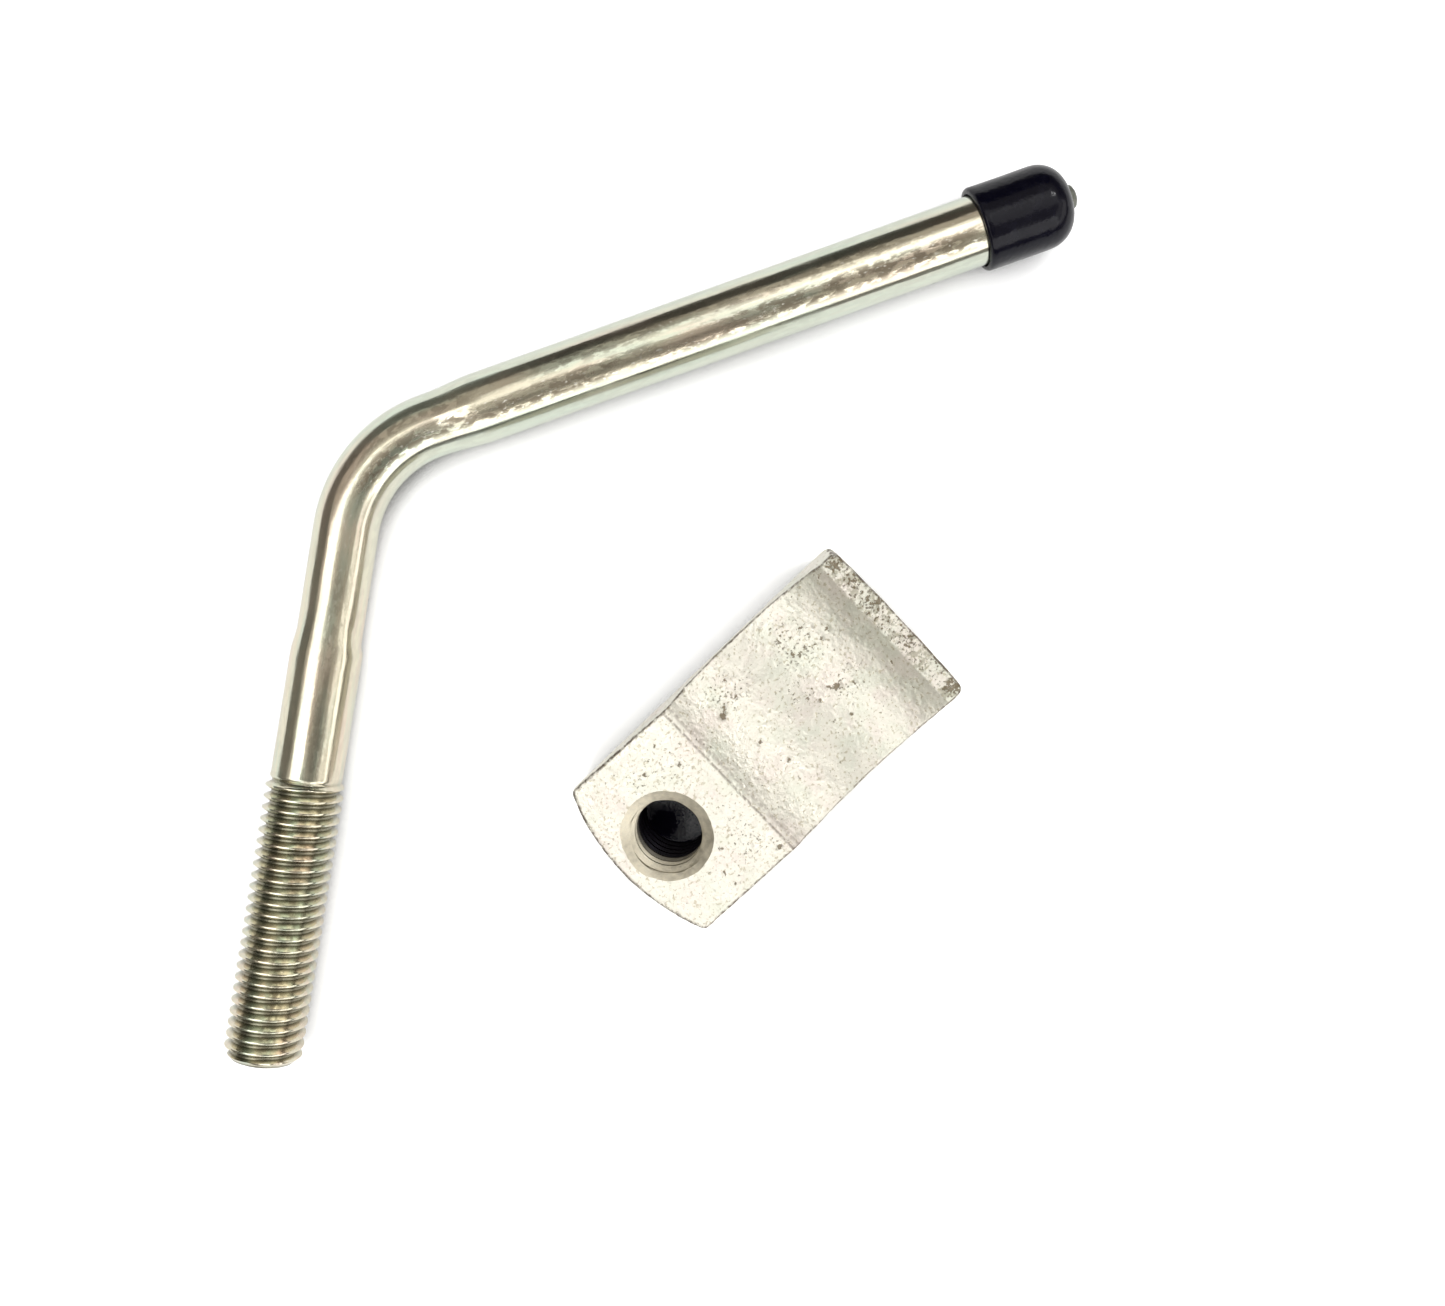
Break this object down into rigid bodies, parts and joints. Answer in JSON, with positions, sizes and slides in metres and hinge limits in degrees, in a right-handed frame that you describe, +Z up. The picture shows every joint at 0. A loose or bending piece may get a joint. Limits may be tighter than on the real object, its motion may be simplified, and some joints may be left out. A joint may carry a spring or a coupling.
{
  "type": "jockey wheel clamp handle and pad",
  "caption": "Bent steel screw handle with a soft push-on end cap, and a cast clamp pad with a round tube saddle and a tapped hole for the handle's thread.",
  "frame": {"origin": "on the supporting surface, below the middle of the pad's tube saddle", "axes": "+X along the pad from its tapped end to its lip, +Y across the pad towards the handle, parallel to the tube that the saddle takes, +Z up off the surface"},
  "size_m": [0.1848, 0.0906, 0.0187],
  "materials": {
    "zinc_steel": "bright zinc plate with a faint yellow and green passivate",
    "black_vinyl": "satin dipped vinyl",
    "zinc_casting": "cast surface, zinc plated, with small brown pits"
  },
  "bodies": {
    "handle": {"handle_rod": "zinc_steel"},
    "cap": {"end_cap": "black_vinyl"},
    "pad": {"clamp_pad": "zinc_casting"}
  },
  "joints": [
    {"name": "cap_pull", "type": "slide", "parent": "handle", "child": "cap", "axis": [0.9149, -0.4033, 0.0136], "range_m": [0, 0.018]},
    {"name": "pad_lift", "type": "slide", "parent": "handle", "child": "pad", "axis": [0, 0, 1], "range_m": [0, 0.06]}
  ]
}
